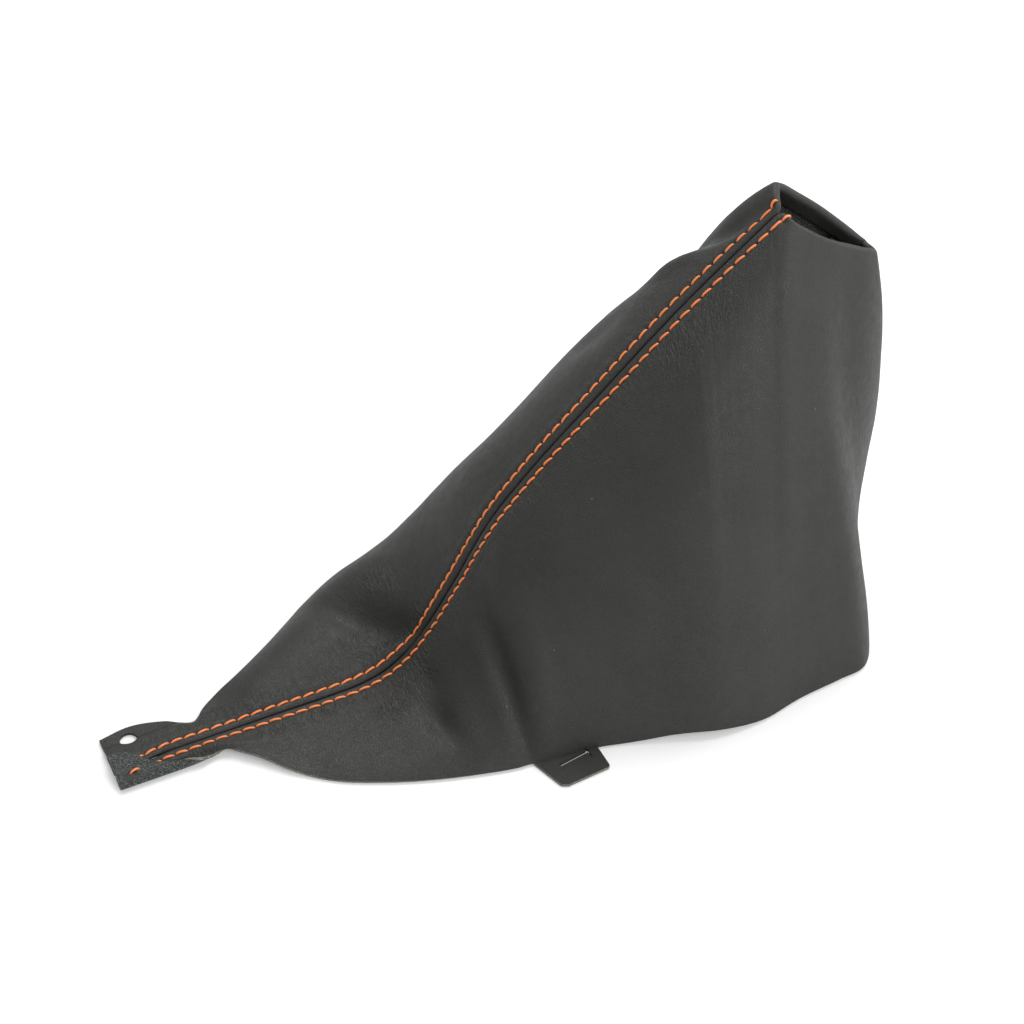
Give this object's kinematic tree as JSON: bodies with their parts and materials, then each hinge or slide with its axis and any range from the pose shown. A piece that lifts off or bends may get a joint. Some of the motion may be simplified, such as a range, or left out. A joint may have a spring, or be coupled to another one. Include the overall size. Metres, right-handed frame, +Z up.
{
  "type": "handbrake gaiter",
  "caption": "Sewn leather sleeve that covers a parking brake lever, narrow at the lever's collar and flared at the console end, with contrast topstitch along one long seam.",
  "frame": {"origin": "middle of the bounding box, at the level of the surface that the sleeve lies on", "axes": "+X along the sleeve from the flat tail tab to the heel under the collar, +Z up through the raised collar, the long seam near the plane y = 0 and the near panel on the -Y side"},
  "size_m": [0.2828, 0.1462, 0.1563],
  "materials": {
    "leather": "fine grain, soft satin",
    "topstitch_thread": "twisted thread, orange",
    "joining_thread": "fine thread, black"
  },
  "bodies": {
    "root": {"near_panel": "leather", "far_panel": "leather", "topstitch_near": "topstitch_thread", "topstitch_far": "topstitch_thread", "long_seam_thread": "joining_thread", "rear_seam_thread": "joining_thread"}
  },
  "joints": []
}
